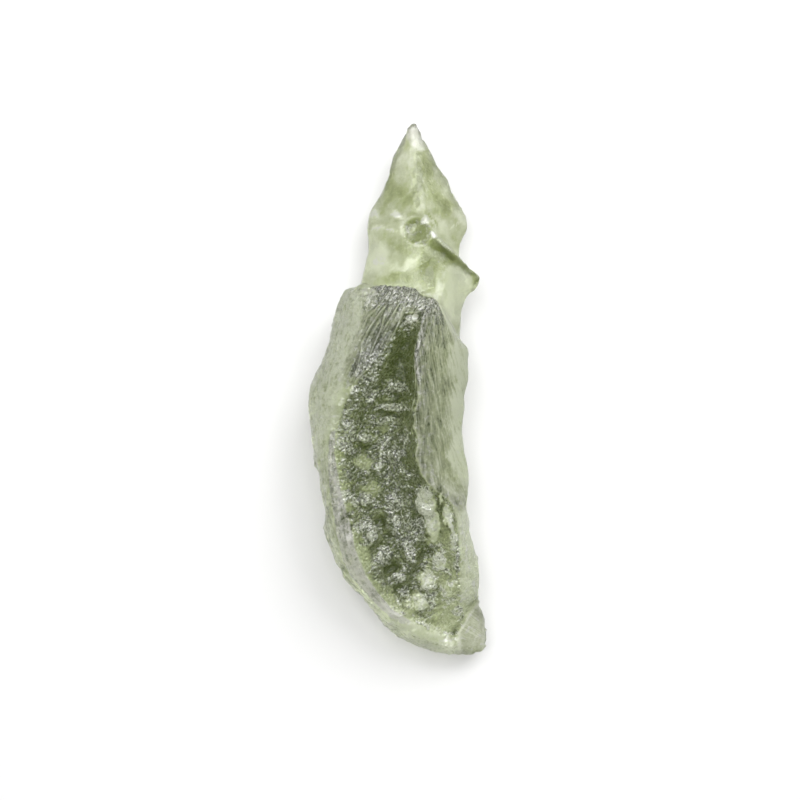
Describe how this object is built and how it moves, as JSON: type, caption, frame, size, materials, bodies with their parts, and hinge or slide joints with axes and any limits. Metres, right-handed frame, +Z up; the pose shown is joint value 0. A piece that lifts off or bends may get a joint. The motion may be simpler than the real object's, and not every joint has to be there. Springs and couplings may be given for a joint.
{
  "type": "moldavite",
  "caption": "Raw splinter of clear olive-green moldavite glass: a pitted, trough-shaped body with a sharp crest, tapering to a thin pointed spire with a side spur.",
  "frame": {"origin": "middle of the stone's box, on the plane that it lies on", "axes": "+Y along the stone towards its thin tip, +X towards the side with the spur, +Z up, away from the surface that it lies on"},
  "size_m": [0.0134, 0.0398, 0.009],
  "materials": {
    "moldavite_glass": "clear olive-green natural glass with a pitted, satin skin"
  },
  "bodies": {
    "root": {"moldavite": "moldavite_glass"}
  },
  "joints": []
}
